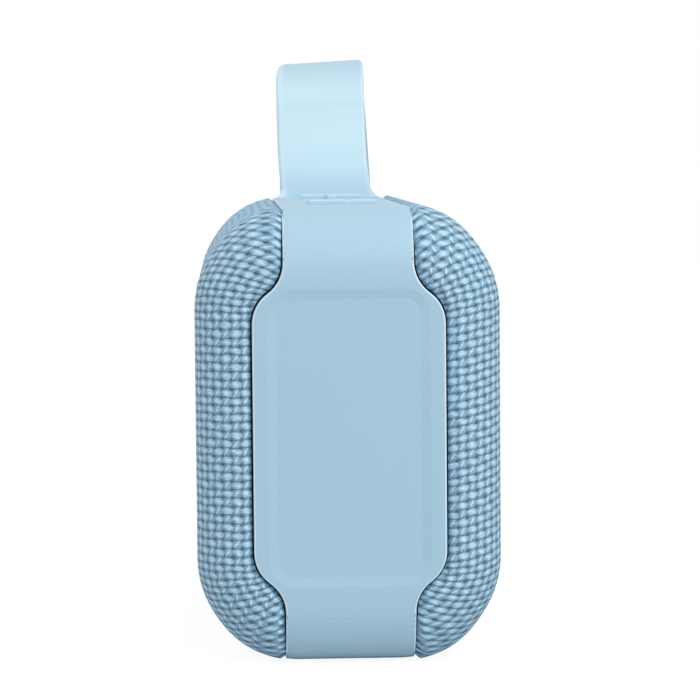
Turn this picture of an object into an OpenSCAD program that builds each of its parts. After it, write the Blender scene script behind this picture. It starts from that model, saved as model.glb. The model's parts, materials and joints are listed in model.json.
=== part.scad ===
/* [Body] */
// Length of the body, end plate to end plate
body_l = 132; // [128:1:170]
// Depth of the body, front to back
body_w = 60.6; // [58:0.2:80]
// Height of the body, without the wrist strap
body_h = 90; // [86:1:120]
// Radius of the four long edges
corner_r = 20.5; // [17:0.5:22]
// Radius between the ends and the sides
end_r = 11; // [10:0.5:13]

/* [Belt] */
// Thickness of the moulded belt
belt_t = 2.6; // [2.4:0.1:2.9]
// Width of the belt over the top and the bottom
belt_w = 25.5; // [24.5:0.5:28]
// Width of the plate at each end
plate_w = 37.7; // [35:0.1:40]
// Height of the straight sides of the end plate
plate_straight = 44.6; // [40:0.2:48]
// Height of each curved shoulder between plate and belt
shoulder_h = 12; // [10:0.5:13]
// Width of the dished panel in the end plate
dish_w = 31.8; // [26:0.2:32.4]
// Height of the dished panel
dish_h = 58.2; // [50:0.2:60]
// Corner radius of the dished panel
dish_r = 5; // [3:0.2:6]
// Depth of the dished panel
dish_depth = 0.35; // [0.2:0.05:0.8]
// Width of its sloping edge
dish_slope = 1.9; // [1:0.1:2.4]
// Open groove between the belt and the cloth
groove_w = 0.5; // [0.3:0.1:0.8]

/* [Wrist strap] */
// Width of the strap
strap_w = 21; // [16:0.5:23]
// Thickness of the strap
strap_t = 2.4; // [2:0.1:3]
// Radius of the strap's long edges
strap_edge = 0.9; // [0.3:0.1:0.9]
// Height of the loop over the body
strap_rise = 31.9; // [24:0.1:40]
// Radius of the loop's top bend, at the middle of the strap
strap_bend = 9.3; // [7:0.1:12]
// Radius of the slight curve of the leg that stands on the belt
strap_sweep = 80; // [60:5:160]
// Distance from the outer leg to the end of the body
strap_stand = 4.5; // [4:0.1:6]
// Height of the lower anchor above the middle of the body
strap_low = 31.5; // [31:0.1:33]

/* [Keys] */
// Distance from the middle key to each outer key
key_pitch = 34.5; // [30:0.5:36]
// Length of the plus and minus signs
sign_l = 14; // [10:0.5:15]
// Width of their strokes
sign_w = 2; // [1.5:0.1:2.5]
// Height of the plus and minus above the belt
sign_rise = 1; // [0.6:0.1:1.4]
// Height of the play sign above the belt
play_rise = 0.3; // [0.2:0.1:0.4]
// Travel of every key
key_travel = 0.5; // [0.3:0.1:0.6]

/* [Cloth and grilles] */
// How far the cloth lies below the belt
cloth_drop = 0.3; // [0.2:0.1:0.6]
// Thickness of the cloth
cloth_t = 0.9; // [0.7:0.1:1.2]
// Wall of the perforated grilles
grille_t = 1.8; // [1.5:0.1:2]
// Radius of the grille holes
hole_r = 1.9; // [1.4:0.1:2.1]
// Distance between the grille holes
hole_pitch = 5.8; // [5.2:0.1:8]

/* [Case] */
// Wall of the inner case
case_wall = 2.2; // [1.8:0.1:2.6]
// Where the two halves of the case meet, from the middle
seam_y = -10.5; // [-11.5:0.5:-10]
// Thickness of the gasket
gasket_t = 0.8; // [0.6:0.1:1]

/* [Drivers] */
// Radius of the driver's flange
flange_r = 24.5; // [22:0.5:25]
// Radius of the opening in the frame
frame_r = 19.6; // [18:0.1:20]
// Depth of the driver's seat below the case
seat_depth = 6.5; // [6:0.1:8]
// Depth of the frame behind the flange
frame_depth = 14; // [12:0.5:15]
// Radius of the voice coil
coil_r = 6.5; // [5.5:0.1:7.5]

/* [Passive radiator] */
// Half the straight length of the radiator
radiator_s = 25.5; // [18:0.5:28]
// Radius of the radiator's frame
radiator_r = 14.5; // [13:0.5:15]

/* [Port panel] */
// Half the length of the panel
panel_l = 22; // [20:0.5:24]
// Half the height of the panel
panel_r = 5.9; // [5.6:0.1:6.2]
// Height of the panel's middle above the middle of the body
panel_rise = 21.6; // [21:0.1:23]
// Place of the charging socket along the panel
port_x = 12; // [11.5:0.1:12.5]

/* [Battery] */
// Radius of a cell
cell_r = 9.1; // [8.5:0.1:9.2]
// Length of a cell
cell_l = 65; // [60:1:70]

/* [Hidden] */
$fn = 96;
clear = 0.1;
slip = 0.15;
rest_gap = 0.05;
hair = 0.01;
big = 400;
mid = body_h / 2;
edge_y = body_w / 2 - corner_r;
edge_z = body_h / 2 - corner_r;

cloth_in = cloth_drop + cloth_t;
grille_out = cloth_in + clear;
grille_in = grille_out + grille_t;
case_out = grille_in + 0.3;
case_in = case_out + case_wall;
rim_out = belt_t + rest_gap;
case_y = body_w / 2 - case_out;
wall_y = body_w / 2 - case_in;
inner_l = body_l / 2 - case_in;
top_z = body_h - case_in;

shoulder_x = (plate_w - belt_w) / 2;
shoulder_turn = 2 * atan(shoulder_x / shoulder_h);
shoulder_r = shoulder_h / (2 * sin(shoulder_turn));
half_straight = plate_straight / 2;

bend_x = body_l / 2 + strap_stand - strap_bend;
bend_z = body_h + strap_rise - strap_bend - strap_t / 2;
sweep_x = bend_x - strap_bend - strap_sweep;
root_x = sweep_x + sqrt(pow(strap_sweep, 2) - pow(bend_z - body_h, 2));
low_z = mid + strap_low;
hook_r = strap_stand - 0.5;
foot_t = 1.1;
foot_half = 3.5;
foot_w = belt_w - 1.1;

pad_top = body_h - belt_t - 0.2;
pad_t = 1.2;
pad_z = pad_top - pad_t;
pocket_z = pad_z - key_travel - slip;
stem_r = 1.4;
stem_z = top_z - 0.8;
plunger_r = 1;
plunger_out = 1;
switch_h = 2;
switch_top = stem_z - rest_gap - plunger_out;
switch_z = switch_top - switch_h;
key_board_t = 1.2;
key_board_z = switch_z - key_board_t;
key_board_l = key_pitch + 11;
key_board_w = 8;
post_y = 5.6;

well_r = flange_r + 0.5;
well_wall = 2.2;
driver_x = inner_l - well_r - well_wall - 1.6;
seat_y = case_y - seat_depth;
flange_t = 1.4;
motor_r = 15;
neck_r = frame_r - 4.2;
screw_ring = flange_r - 2;

radiator_z = mid - 3;
radiator_seat = case_y - 7.6;
plate_r = radiator_r - 7;
radiator_well = radiator_r + 0.3;

port_z = mid + panel_rise;
panel_y = body_w / 2 - cloth_drop + 0.1;
panel_back = case_y + rest_gap;
usb_w = 8.94;
usb_h = 3.26;
usb_l = 7.35;
usb_mouth = wall_y - 0.7;
board_t = 1.6;
board_top = port_z - usb_h / 2;
board_l = inner_l - 8.4;
board_front = -9;
board_back = usb_mouth - 3.7;
power_x = port_x - 27.5;
pair_x = port_x - 18.5;
light_x = port_x - 11.7;
cap_r = 3.3;
skirt_r = 3.9;
push_y = wall_y - 1.8;

battery_y = 1;
cell_gap = cell_r + 0.25;
cell_z = case_in + 1.5 + cell_r;
tray_top = cell_z - 0.7;

boss_x = body_l / 2 - 16;
boss_z = edge_z + 7;
boss_top = 28.5;
boss_r = 4;
bosses = [[-boss_x, -boss_z], [boss_x, -boss_z], [-boss_x, boss_z], [boss_x, boss_z], [0, boss_top]];
head_y = seam_y + gasket_t / 2 + 5;
peg_x = body_l / 2 - 12;
peg_r = 1.5;
peg_y = case_y - 2.2;
corner_pegs = [[-peg_x, -edge_z], [peg_x, -edge_z], [-peg_x, edge_z], [peg_x, edge_z]];
middle_pegs = [[0, -20], [0, 20]];

// ---- plain shapes ----

module quarters() {
  children();
  mirror([1, 0]) children();
  mirror([0, 1]) children();
  rotate(180) children();
}

module round_rect(hx, hy, r) {
  square([2 * hx, 2 * (hy - r)], center = true);
  square([2 * (hx - r), 2 * hy], center = true);
  for (sx = [-1, 1], sy = [-1, 1]) translate([sx * (hx - r), sy * (hy - r)]) circle(r);
}

module stadium(hx, r) {
  square([2 * (hx - r), 2 * r], center = true);
  for (side = [-1, 1]) translate([side * (hx - r), 0]) circle(r);
}

// A profile, drawn as radius and height, carried round a stadium
module round_track(s) {
  for (turn = [0, 180]) rotate(turn) {
    translate([s, 0, 0]) rotate(-90) rotate_extrude(angle = 180) children();
    translate([-s, 0, 0]) rotate([90, 0, 90]) linear_extrude(2 * s) children();
  }
}

// A shallow pocket with sloping sides; the surface is at height 0
module sloped_pocket(hx, hy, r, depth, slope) {
  over = 0.2;
  more = slope * over / depth;
  for (sx = [-1, 1], sy = [-1, 1]) translate([sx * (hx - r), sy * (hy - r), -depth])
    cylinder(depth + over, r - slope, r + more);
  rotate([90, 0, 0]) linear_extrude(2 * (hy - r), center = true) pocket_side(hx, depth, slope, over);
  rotate([90, 0, 90]) linear_extrude(2 * (hx - r), center = true) pocket_side(hy, depth, slope, over);
}

module pocket_side(half, depth, slope, over) {
  top = half + slope * over / depth;
  polygon([[-half + slope, -depth], [half - slope, -depth], [top, over], [-top, over]]);
}

// The whole body, every surface set in by d
module block(d) {
  translate([0, 0, mid]) {
    for (turn = [0, 180], side = [0, 1]) rotate([turn, 0, 0]) mirror([0, side, 0])
      translate([0, edge_y, edge_z]) rotate([0, 90, 0]) rotate([0, 0, 90])
        rotate_extrude(angle = 90) intersection() {
          round_rect(corner_r - d, body_l / 2 - d, end_r - d);
          translate([0, -body_l / 2]) square([corner_r, body_l]);
        }
    linear_extrude(2 * edge_z, center = true)
      round_rect(body_l / 2 - d, body_w / 2 - d, end_r - d);
    rotate([90, 0, 0]) linear_extrude(2 * edge_y, center = true)
      round_rect(body_l / 2 - d, body_h / 2 - d, end_r - d);
  }
}

// The outline of belt and end plate, seen from the end, widened by g
module belt_outline(g) {
  hb = belt_w / 2 + g;
  hp = plate_w / 2 + g;
  turn_z = half_straight + shoulder_h;
  difference() {
    union() {
      square([2 * hb, body_h + 10], center = true);
      square([2 * hp, plate_straight], center = true);
      quarters() {
        translate([hp - shoulder_r - g, half_straight]) circle(shoulder_r + g);
        polygon([[0, half_straight], [hp - shoulder_r, half_straight],
          [(hp + hb) / 2, half_straight + shoulder_h / 2], [hb, turn_z], [0, turn_z]]);
      }
    }
    quarters() translate([hb + shoulder_r - g, turn_z]) circle(shoulder_r - g);
  }
}

module belt_prism(g) {
  translate([0, 0, mid]) rotate([90, 0, 90]) linear_extrude(body_l + 20, center = true) belt_outline(g);
}

module half_space(side) {
  translate([0, side * big / 2, 0]) cube(big, center = true);
}

// Places a part on the front, outward along -Y
module on_front(x, y, z) {
  translate([x, -y, z]) rotate([90, 0, 0]) children();
}

// Places a part on the back, outward along +Y
module on_back(x, y, z) {
  translate([x, y, z]) rotate([-90, 0, 0]) children();
}

module screw(head_r, head_h, shank_r, shank_l) {
  cylinder(head_h, r = head_r);
  translate([0, 0, -shank_l]) cylinder(shank_l, r = shank_r);
}

// ---- belt, strap and top keys ----

module minus_sign(g) {
  round_rect(sign_w / 2 + g, sign_l / 2 + g, 0.4 + g);
}

module plus_sign(g) {
  minus_sign(g);
  rotate(90) minus_sign(g);
}

module play_sign(g) {
  translate([-2.2, 0]) polygon([[-2.4 - g, -2.8 - g], [-2.4 - g, 2.8 + g], [2.4 + g, 0]]);
  for (x = [2.2, 4.4]) translate([x, 0]) square([1.1 + 2 * g, 5.4 + 2 * g], center = true);
}

// A bow with the section given, at radius r, from the level of x, z upward
module strap_bow(x, z, r, angle) {
  translate([x, 0, z]) rotate([90, 0, 0]) rotate_extrude(angle = angle) translate([r, 0]) children();
}

module strap_section() {
  round_rect(strap_t / 2, strap_w / 2, strap_edge);
}

// The line of the leg that stands on the belt
module strap_leg() {
  mirror([0, 0, 1]) strap_bow(sweep_x, -bend_z, strap_sweep, 30) children();
}

// The strap from its foot in the top of the belt to its foot in the end plate
module strap_loop() {
  far_x = body_l / 2 + strap_stand;
  foot_x = body_l / 2 - rim_out - foot_t;
  intersection() {
    strap_leg() strap_section();
    translate([0, -big / 2, body_h - rim_out - foot_t]) cube(big);
  }
  strap_bow(bend_x, bend_z, strap_bend, 180) strap_section();
  translate([far_x, 0, low_z + hook_r]) linear_extrude(bend_z - low_z - hook_r) strap_section();
  mirror([0, 0, 1]) strap_bow(far_x - hook_r, -low_z - hook_r, hook_r, 90) strap_section();
  translate([foot_x, 0, low_z]) rotate([90, 0, 90]) linear_extrude(far_x - hook_r - foot_x)
    rotate(90) strap_section();
}

// The root of the leg, flared to the width of the belt
module strap_flare() {
  flare = (belt_w - strap_w) / 2;
  intersection() {
    strap_leg() square([strap_t, belt_w], center = true);
    rotate([90, 0, 90]) linear_extrude(body_l) difference() {
      translate([-belt_w / 2, body_h]) square([belt_w, flare]);
      for (side = [-1, 1]) translate([side * belt_w / 2, body_h + flare]) circle(flare);
    }
  }
}

module strap_slots(g) {
  strap_leg() square([strap_t + 2 * g, strap_w + 2 * g], center = true);
  translate([body_l / 2, 0, low_z]) cube([20, strap_w + 2 * g, strap_t + 2 * g], center = true);
}

module strap_feet(g) {
  foot_x = root_x - 0.3;
  translate([foot_x - foot_half - g, -foot_w / 2 - g, body_h - rim_out - foot_t - g])
    cube([2 * (foot_half + g), foot_w + 2 * g, foot_t + 2 * g]);
  translate([body_l / 2 - rim_out - foot_t - g, -foot_w / 2 - g, low_z - foot_half - g])
    cube([foot_t + 2 * g, foot_w + 2 * g, 2 * (foot_half + g)]);
}

module belt() {
  color("#a9cbdc") difference() {
    intersection() {
      block(0);
      belt_prism(0);
    }
    block(belt_t);
    translate([-key_pitch, 0, mid]) linear_extrude(body_h) minus_sign(slip);
    translate([0, 0, mid]) linear_extrude(body_h) play_sign(slip);
    translate([key_pitch, 0, mid]) linear_extrude(body_h) plus_sign(slip);
    strap_slots(clear);
    for (side = [-1, 1]) translate([side * body_l / 2, 0, mid]) rotate([0, side * 90, 0])
      sloped_pocket(dish_h / 2, dish_w / 2, dish_r, dish_depth, dish_slope);
  }
}

module wrist_strap() {
  color("#cdecfb") {
    strap_loop();
    strap_flare();
    intersection() {
      strap_feet(0);
      block(rim_out);
    }
  }
}

module key_body(pad_x, pad_y, rise) {
  translate([0, 0, stem_z]) cylinder(pad_z - stem_z, r = stem_r);
  translate([0, 0, pad_z]) linear_extrude(pad_t) round_rect(pad_x, pad_y, 1.2);
  translate([0, 0, pad_top]) linear_extrude(body_h + rise - pad_top) children();
}

module minus_key() {
  dimple_r = 0.6;
  color("#b6d9ea") translate([-key_pitch, 0, 0]) difference() {
    key_body(3.4, 8.4, sign_rise) minus_sign(0);
    translate([0, -1.4, body_h + sign_rise + dimple_r / 2]) rotate([0, 90, 0])
      cylinder(sign_w + 1, r = dimple_r, center = true);
  }
}

module play_key() {
  color("#b6d9ea") key_body(6.4, 4.4, play_rise) play_sign(0);
}

module plus_key() {
  color("#b6d9ea") translate([key_pitch, 0, 0]) key_body(8.4, 8.4, sign_rise) plus_sign(0);
}

// ---- cloth and grilles ----

module cloth(side) {
  intersection() {
    difference() {
      block(cloth_drop);
      belt_prism(groove_w);
      difference() {
        block(cloth_in);
        belt_prism(groove_w + cloth_t);
      }
      block(grille_in);
    }
    half_space(side);
  }
}

module grille_holes(side) {
  rows = floor((edge_z - hole_r) / (hole_pitch * sin(60)));
  cols = floor((body_l / 2 - end_r - hole_r) / hole_pitch);
  pegs = side < 0 ? concat(corner_pegs, middle_pegs) : corner_pegs;
  for (row = [-rows:rows], col = [-cols:cols]) {
    x = (col + (row % 2 == 0 ? 0 : 0.5)) * hole_pitch;
    z = row * hole_pitch * sin(60);
    near_peg = min([for (p = pegs) norm([x, z] - p)]) < hole_r + peg_r + 1.2;
    near_panel = side > 0 && abs(x) < panel_l + 3.5 && abs(z - panel_rise) < panel_r + hole_r + 1;
    if (!near_peg && !near_panel && abs(x) < body_l / 2 - end_r - hole_r)
      translate([x, side * body_w / 2, mid + z]) rotate([90, 0, 0])
        cylinder(4 * grille_in, r = hole_r, center = true);
  }
}

module grille(side, pegs) {
  difference() {
    intersection() {
      difference() {
        block(grille_out);
        block(grille_in);
        belt_prism(groove_w + cloth_t + clear);
      }
      half_space(side);
    }
    grille_holes(side);
  }
  for (p = pegs) translate([p[0], side * (peg_y + 0.3), mid + p[1]]) rotate([-90 * side, 0, 0])
    cylinder(body_w / 2 - grille_in + hair - peg_y - 0.3, r = peg_r);
}

module panel_hole(g) {
  on_back(0, case_y - 0.2, port_z) linear_extrude(20) stadium(panel_l + g, panel_r + g);
}

module front_cloth() {
  color("#84a5b9") cloth(-1);
}

module rear_cloth() {
  color("#84a5b9") difference() {
    cloth(1);
    panel_hole(slip);
  }
}

module front_grille() {
  color("#4a6577") grille(-1, concat(corner_pegs, middle_pegs));
}

module rear_grille() {
  color("#4a6577") difference() {
    grille(1, corner_pegs);
    panel_hole(slip);
  }
}

// ---- inner case ----

module case_shell() {
  difference() {
    union() {
      block(case_out);
      intersection() {
        block(rim_out);
        belt_prism(-rest_gap);
      }
    }
    block(case_in);
  }
}

module boss_row(r, y0, y1) {
  for (p = bosses) translate([p[0], y0, mid + p[1]]) rotate([-90, 0, 0]) cylinder(y1 - y0, r = r);
}

module peg_row(side, pegs, r, y0, y1) {
  for (p = pegs) translate([p[0], side * y0, mid + p[1]]) rotate([-90 * side, 0, 0])
    cylinder(y1 - y0, r = r);
}

module front_case() {
  seam = seam_y - gasket_t / 2;
  pegs = concat(corner_pegs, middle_pegs);
  color("#39424a") intersection() {
    difference() {
      union() {
        case_shell();
        intersection() {
          block(case_out);
          union() {
            for (side = [-1, 1]) on_front(side * driver_x, seat_y - well_wall, mid)
              cylinder(seat_depth + well_wall, r = well_r + well_wall);
            boss_row(3.4, -body_w / 2, seam);
            peg_row(-1, pegs, 2.8, peg_y - 1.4, case_y);
          }
        }
      }
      for (side = [-1, 1]) on_front(side * driver_x, seat_y, mid) {
        cylinder(big, r = well_r);
        translate([0, 0, -big / 2]) cylinder(big, r = frame_r + 0.3);
        for (a = [45:90:315]) rotate(a) translate([screw_ring, 0, -well_wall - 1])
          cylinder(well_wall + 2, r = 0.95);
      }
      boss_row(1.15, seam - 9, seam + 1);
      peg_row(-1, pegs, peg_r + clear, peg_y, case_y + 1);
      strap_feet(clear);
    }
    translate([0, seam - big / 2, 0]) cube(big, center = true);
  }
}

module rear_case() {
  seam = seam_y + gasket_t / 2;
  color("#39424a") intersection() {
    difference() {
      union() {
        case_shell();
        intersection() {
          block(case_out);
          rear_case_inside(seam);
        }
      }
      on_back(0, radiator_seat, radiator_z) {
        linear_extrude(big) stadium(radiator_s + radiator_well, radiator_well);
        translate([0, 0, -5]) linear_extrude(big) stadium(radiator_s + radiator_r - 3.6, radiator_r - 3.6);
      }
      boss_row(1.6, seam - 1, head_y + 1);
      boss_row(2.9, head_y, body_w / 2);
      peg_row(1, corner_pegs, peg_r + clear, peg_y, case_y + 1);
      strap_feet(clear);
      for (x = [power_x, pair_x]) on_back(x, wall_y - 5, port_z) cylinder(20, r = stem_r + slip);
      on_back(light_x, wall_y - 5, port_z) cylinder(20, r = 0.8 + slip);
      on_back(port_x, wall_y - 1, port_z) linear_extrude(20) stadium(6.4, 3.5);
      top_key_pocket(-key_pitch) round_rect(3.4 + clear, 8.4 + clear, 1.2);
      top_key_pocket(0) round_rect(6.4 + clear, 4.4 + clear, 1.2);
      top_key_pocket(key_pitch) round_rect(8.4 + clear, 8.4 + clear, 1.2);
      for (x = [-1, 1], p = [key_pitch / 2, key_pitch + 8.5])
        translate([x * p, post_y, switch_z - 1]) cylinder(4, r = 0.8);
      for (x = [-1, 1], y = [5.5, 14])
        translate([x * (board_l - 3), y, board_top - board_t - 2.4]) cylinder(4, r = 0.8);
    }
    translate([0, seam + big / 2, 0]) cube(big, center = true);
  }
}

// Wells, bosses, posts and shelves that stand on the inside of the rear case
module rear_case_inside(seam) {
  on_back(0, radiator_seat - well_wall, radiator_z)
    linear_extrude(20) stadium(radiator_s + radiator_well + well_wall, radiator_well + well_wall);
  boss_row(boss_r, seam, body_w / 2);
  peg_row(1, corner_pegs, 2.8, peg_y - 1.4, case_y);
  for (x = [-1, 1], p = [key_pitch / 2, key_pitch + 8.5])
    translate([x * p, post_y, switch_z]) cylinder(top_z - switch_z + 1, r = 2.2);
  for (x = [-1, 1]) translate([x * (board_l + 1) - 6, 3, board_top - board_t - 3])
    cube([12, 13.5, 3]);
  for (x = [-1, 1]) translate([x * (board_l + 6), 9.75, board_top - board_t - 1.5])
    cube([8, 13.5, 3], center = true);
}

module top_key_pocket(x) {
  translate([x, 0, pocket_z]) linear_extrude(20) children();
  translate([x, 0, top_z - 1]) cylinder(10, r = stem_r + slip);
}

module case_gasket() {
  color("#202428") intersection() {
    difference() {
      block(rim_out + foot_t + 2 * clear);
      block(case_in - 2 * clear);
    }
    translate([0, seam_y, 0]) cube([big, gasket_t, big], center = true);
  }
}

module case_screws() {
  color("silver") for (p = bosses) on_back(p[0], head_y, mid + p[1])
    screw(2.6, 2, 1.1, head_y - seam_y + gasket_t / 2 + 8);
}

// ---- drivers: local height 0 is the seat, outward is up ----

module driver_frame() {
  color("#2b2f33") difference() {
    rotate_extrude() polygon([[frame_r - 1.4, flange_t], [flange_r, flange_t], [flange_r, 0],
      [frame_r, 0], [frame_r, -1], [neck_r, 1.4 - frame_depth], [neck_r, -frame_depth],
      [coil_r + 2, -frame_depth], [coil_r + 2, 1.4 - frame_depth], [neck_r - 1.3, 1.4 - frame_depth],
      [frame_r - 1.4, -1.4]]);
    for (a = [0:90:270]) rotate(a) translate([frame_r - 2.4, 0, -frame_depth / 2 + 0.1])
      cube([13, 14, frame_depth - 5], center = true);
    for (a = [45:90:315]) rotate(a) translate([screw_ring, 0, -1]) cylinder(4, r = 1.25);
  }
}

module driver_magnet() {
  color("#1c1d20") translate([0, 0, -frame_depth - 8]) difference() {
    cylinder(5, r = motor_r);
    translate([0, 0, -1]) cylinder(7, r = coil_r + 1.6);
  }
}

module driver_yoke() {
  color("#9aa1a6") {
    translate([0, 0, -frame_depth - 3]) difference() {
      cylinder(3, r = motor_r - 1);
      translate([0, 0, -1]) cylinder(5, r = coil_r + 0.6);
    }
    translate([0, 0, -frame_depth - 11]) {
      cylinder(3, r = motor_r - 1.5);
      cylinder(10.8, r = coil_r - 0.6);
    }
  }
}

module driver_cone() {
  rim = frame_r - 4.2;
  cap = coil_r + 1.2;
  dome = 9;
  color("#3a4046") {
    rotate_extrude() polygon([[coil_r - 0.2, -7.2], [coil_r + 0.1, -7.2], [rim - 0.6, 0.9], [rim, 0.9],
      [rim, 1.4], [rim - 0.8, 1.4], [coil_r - 0.2, -6.4]]);
    rotate_extrude() intersection() {
      translate([0, -dome - 3.2]) difference() {
        circle(dome);
        circle(dome - 0.5);
      }
      translate([0, -8]) square([cap, 8]);
    }
    rotate_extrude() translate([coil_r - 0.2, -frame_depth - 2.5]) square([0.2, frame_depth - 4]);
  }
}

module driver_coil() {
  color("#b5703a") rotate_extrude() translate([coil_r + hair, -frame_depth - 2.6]) square([0.3, 4]);
}

module driver_spider() {
  color("#c8a24a") rotate_extrude() translate([coil_r + hair, 1.4 - frame_depth])
    square([neck_r - coil_r - 1.6, 0.4]);
}

module driver_surround() {
  roll = 1.75;
  color("#1f2226") rotate_extrude() {
    translate([frame_r - 5, flange_t]) square([1.2 + hair, 0.5]);
    translate([frame_r - 3.8 + 2 * roll, flange_t]) square([1.4, 0.5]);
    translate([frame_r - 3.8 + roll, flange_t]) intersection() {
      difference() {
        circle(roll + 0.5);
        circle(roll);
      }
      translate([-5, 0]) square(10);
    }
  }
}

module place_driver(side) {
  on_front(side * driver_x, seat_y, mid) children();
}

module driver_screws() {
  color("silver") for (side = [-1, 1]) place_driver(side)
    for (a = [45:90:315]) rotate(a) translate([screw_ring, 0, flange_t]) screw(1.6, 1, 0.9, flange_t + 2);
}

// ---- passive radiator ----

module place_radiator() {
  on_back(0, radiator_seat, radiator_z) children();
}

module radiator_frame() {
  color("#2b2f33") place_radiator() round_track(radiator_s)
    translate([radiator_r - 3.5, 0]) square([3.5, 1.8]);
}

module radiator_surround() {
  roll = 1.6;
  color("#1f2226") place_radiator() round_track(radiator_s) {
    translate([plate_r - 1, 1.8]) square([1.2, 0.5]);
    translate([plate_r + 0.2 + 2 * roll - hair, 1.8]) square([2.2, 0.5]);
    translate([plate_r + 0.2 + roll, 1.8]) intersection() {
      difference() {
        circle(roll + 0.5);
        circle(roll);
      }
      translate([-5, 0]) square(10);
    }
  }
}

module radiator_plate() {
  color("#8b9196") place_radiator() translate([0, 0, -0.8]) linear_extrude(2.6)
    stadium(radiator_s + plate_r, plate_r);
}

// ---- boards, switches and socket ----

module key_board() {
  color("#1f6b4a") translate([0, 0, key_board_z]) difference() {
    linear_extrude(key_board_t) round_rect(key_board_l, key_board_w, 1.5);
    for (x = [-1, 1], p = [key_pitch / 2, key_pitch + 8.5])
      translate([x * p, post_y, -1]) cylinder(4, r = 1.1);
  }
}

module key_board_screws() {
  color("silver") for (x = [-1, 1], p = [key_pitch / 2, key_pitch + 8.5])
    translate([x * p, post_y, key_board_z]) mirror([0, 0, 1]) screw(1.8, 1, 0.75, key_board_t + 2.4);
}

module key_switches() {
  color("#26292c") for (x = [-key_pitch, 0, key_pitch]) translate([x, 0, switch_z]) difference() {
    linear_extrude(switch_h) round_rect(2.6, 2.6, 0.4);
    translate([0, 0, 0.3]) cylinder(switch_h, r = plunger_r + 0.08);
  }
}

module top_plunger(x) {
  color("#d8d3c4") translate([x, 0, switch_z + 0.9])
    cylinder(switch_h - 0.9 + plunger_out, r = plunger_r);
}

module main_board() {
  color("#1f6b4a") translate([0, 0, board_top - board_t]) difference() {
    translate([0, (board_front + board_back) / 2, 0]) linear_extrude(board_t)
      round_rect(board_l, (board_back - board_front) / 2, 2);
    for (x = [-1, 1], y = [5.5, 14]) translate([x * (board_l - 3), y, -1]) cylinder(4, r = 1.1);
  }
}

module board_screws() {
  color("silver") for (x = [-1, 1], y = [5.5, 14])
    translate([x * (board_l - 3), y, board_top]) screw(1.8, 1, 0.75, board_t + 2.2);
}

module board_parts() {
  chips = [[20, 2, 7, 7, 1], [-22, 2, 16, 11, 2.4], [2, 0, 9, 9, 1.2], [31, 3, 6, 6, 3.6],
    [31, 11, 6, 6, 3.6], [-40, 4, 5, 5, 1]];
  sockets = [-36, -6, 12, 38];
  color("#2c3034") translate([0, 0, board_top]) {
    for (c = chips) translate([c[0] - c[2] / 2, c[1] - c[3] / 2, 0]) cube([c[2], c[3], c[4]]);
    for (x = sockets) translate([x - 3, board_front + 0.6, 0]) cube([6, 4, 4.4]);
    for (x = [40, -11]) translate([x, 3, 0]) cylinder(5, r = 3);
  }
}

module board_ribbon() {
  ribbon_x = -27;
  flat = 0.25;
  down_y = key_board_w + 1.4;
  color("#d9c27a") translate([ribbon_x, 0, 0]) {
    translate([-5, 3, key_board_z - flat]) cube([10, down_y - 3, flat]);
    translate([-5, down_y - hair, board_top + 1.6]) cube([10, flat, key_board_z - board_top - 1.6]);
    translate([-5.6, down_y - 1.4, board_top]) cube([11.2, 3, 1.6]);
  }
}

module usb_socket() {
  color("#c9ccce") on_back(port_x, usb_mouth - usb_l, port_z) {
    difference() {
      linear_extrude(usb_l) stadium(usb_w / 2, usb_h / 2);
      translate([0, 0, 1]) linear_extrude(usb_l) stadium(usb_w / 2 - 0.3, usb_h / 2 - 0.3);
    }
    translate([-3.35, -0.35, 0.5]) cube([6.7, 0.7, usb_l - 1.4]);
  }
}

module side_switches() {
  color("#26292c") for (x = [power_x, pair_x]) on_back(x, push_y - 1 - 3, port_z) difference() {
    translate([-2.4, port_z - board_top - 3.2, 0]) cube([4.8, 3.2, 3]);
    translate([0, 0, 0.6]) cylinder(4, r = 0.93);
  }
}

module side_plunger(x) {
  color("#d8d3c4") on_back(x, push_y - 1 - 1.6, port_z) cylinder(2.6 - rest_gap, r = 0.85);
}

module side_key(x) {
  color("#a9cbdc") on_back(x, push_y, port_z) {
    cylinder(panel_y - push_y + 0.4, r = stem_r);
    translate([0, 0, panel_back + 0.55 - push_y]) cylinder(0.7, r = skirt_r);
    translate([0, 0, panel_back + 1.2 - push_y]) cylinder(panel_y - panel_back - 0.8, r = cap_r);
  }
}

// ---- rear panel, flap and light ----

module port_panel() {
  depth = panel_y - panel_back;
  color("#a9cbdc") on_back(0, panel_back, port_z) difference() {
    linear_extrude(depth) stadium(panel_l, panel_r);
    for (x = [power_x, pair_x]) translate([x, 0, -1]) {
      cylinder(depth + 2, r = cap_r + slip);
      cylinder(2.4, r = skirt_r + slip);
    }
    translate([light_x, 0, -1]) cylinder(depth + 2, r = 0.85);
    translate([port_x, 0, -1]) linear_extrude(depth + 2) stadium(6.6, 3.6);
    translate([port_x, 0, depth - 1.1]) linear_extrude(2) stadium(8.3, 4.7);
  }
}

module port_flap() {
  color("#b6d9ea") on_back(port_x, panel_y - 1, port_z) {
    linear_extrude(1) stadium(8.1, 4.5);
    translate([0, 0, -0.7]) linear_extrude(0.7 + hair) stadium(6.35, 3.35);
  }
}

module status_light() {
  color("#f2f6f7") on_back(light_x, wall_y - 2, port_z) cylinder(panel_y - wall_y + 2, r = 0.8);
}

// ---- battery ----

module battery_cells() {
  color("#4f9bc4") for (side = [-1, 1]) translate([0, battery_y + side * cell_gap, cell_z])
    rotate([0, 90 * side, 0]) {
      cylinder(cell_l, r = cell_r, center = true);
      cylinder(cell_l / 2 + 0.7, r = 2.8);
    }
}

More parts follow.
